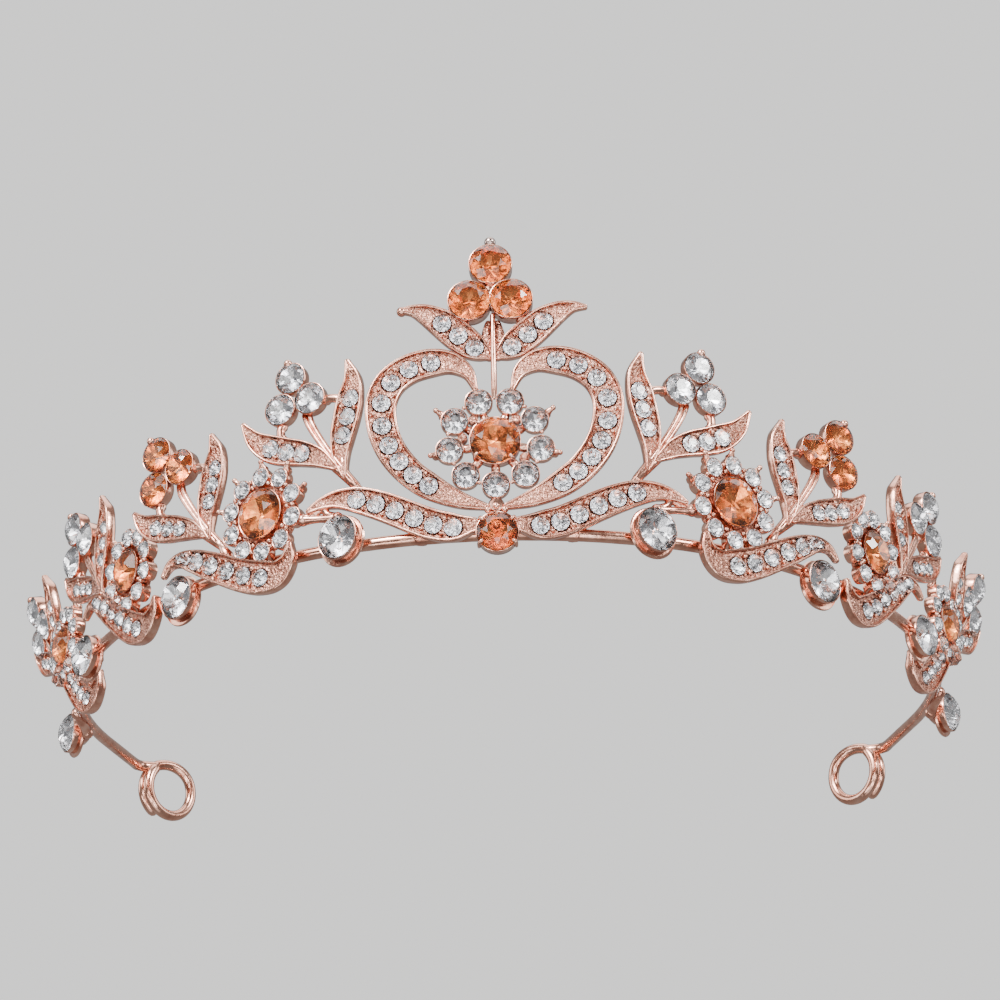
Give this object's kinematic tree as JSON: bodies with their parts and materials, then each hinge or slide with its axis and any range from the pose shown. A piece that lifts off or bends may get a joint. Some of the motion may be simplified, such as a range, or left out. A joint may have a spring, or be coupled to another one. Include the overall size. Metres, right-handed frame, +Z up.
{
  "type": "bridal tiara",
  "caption": "Openwork bridal tiara: heart, flowers, scrolls and leaf sprigs set with round stones on a U-shaped wire headband with end loops.",
  "frame": {"origin": "centre of the bounding box's bottom face, on the surface that the tiara stands on", "axes": "+Z up, -Y the front of the tiara, X across the head from side to side"},
  "size_m": [0.1738, 0.1318, 0.0549],
  "materials": {
    "casting": "rose-gold plated, polished rims over granular floors",
    "wire": "rose-gold plated, bright drawn wire",
    "clear_stone": "clear faceted glass with a foiled back",
    "orange_stone": "champagne-orange faceted glass with a foiled back"
  },
  "bodies": {
    "root": {"band_wire": "wire", "end_loop_left": "wire", "end_loop_right": "wire", "heart_frame": "casting", "heart_stones": "clear_stone", "centre_flower_setting": "casting", "centre_flower_petals": "clear_stone", "centre_flower_stone": "orange_stone", "crest_leaf_left": "casting", "crest_leaf_right": "casting", "crest_leaf_stones": "clear_stone", "crest_setting": "casting", "crest_stones": "orange_stone", "centre_drop_setting": "casting", "centre_drop_stone": "orange_stone", "front_scroll_left": "casting", "front_scroll_right": "casting", "front_scroll_stones": "clear_stone", "flower_1_left": "casting", "flower_2_left": "casting", "flower_3_left": "casting", "flower_1_right": "casting", "flower_2_right": "casting", "flower_3_right": "casting", "scroll_1_left": "casting", "scroll_2_left": "casting", "scroll_3_left": "casting", "scroll_1_right": "casting", "scroll_2_right": "casting", "scroll_3_right": "casting", "sprig_1_left": "casting", "sprig_2_left": "casting", "sprig_3_left": "casting", "sprig_4_left": "casting", "sprig_1_right": "casting", "sprig_2_right": "casting", "sprig_3_right": "casting", "sprig_4_right": "casting", "drop_setting_1_left": "casting", "drop_setting_2_left": "casting", "drop_setting_3_left": "casting", "drop_setting_4_left": "casting", "drop_setting_1_right": "casting", "drop_setting_2_right": "casting", "drop_setting_3_right": "casting", "drop_setting_4_right": "casting", "flower_stones": "orange_stone", "petal_stones_left": "clear_stone", "petal_stones_right": "clear_stone", "scroll_stones_left": "clear_stone", "scroll_stones_right": "clear_stone", "leaf_stones_left": "clear_stone", "leaf_stones_right": "clear_stone", "trefoil_stones_clear_left": "clear_stone", "trefoil_stones_clear_right": "clear_stone", "trefoil_stones_orange": "orange_stone", "drop_stones": "clear_stone"}
  },
  "joints": []
}
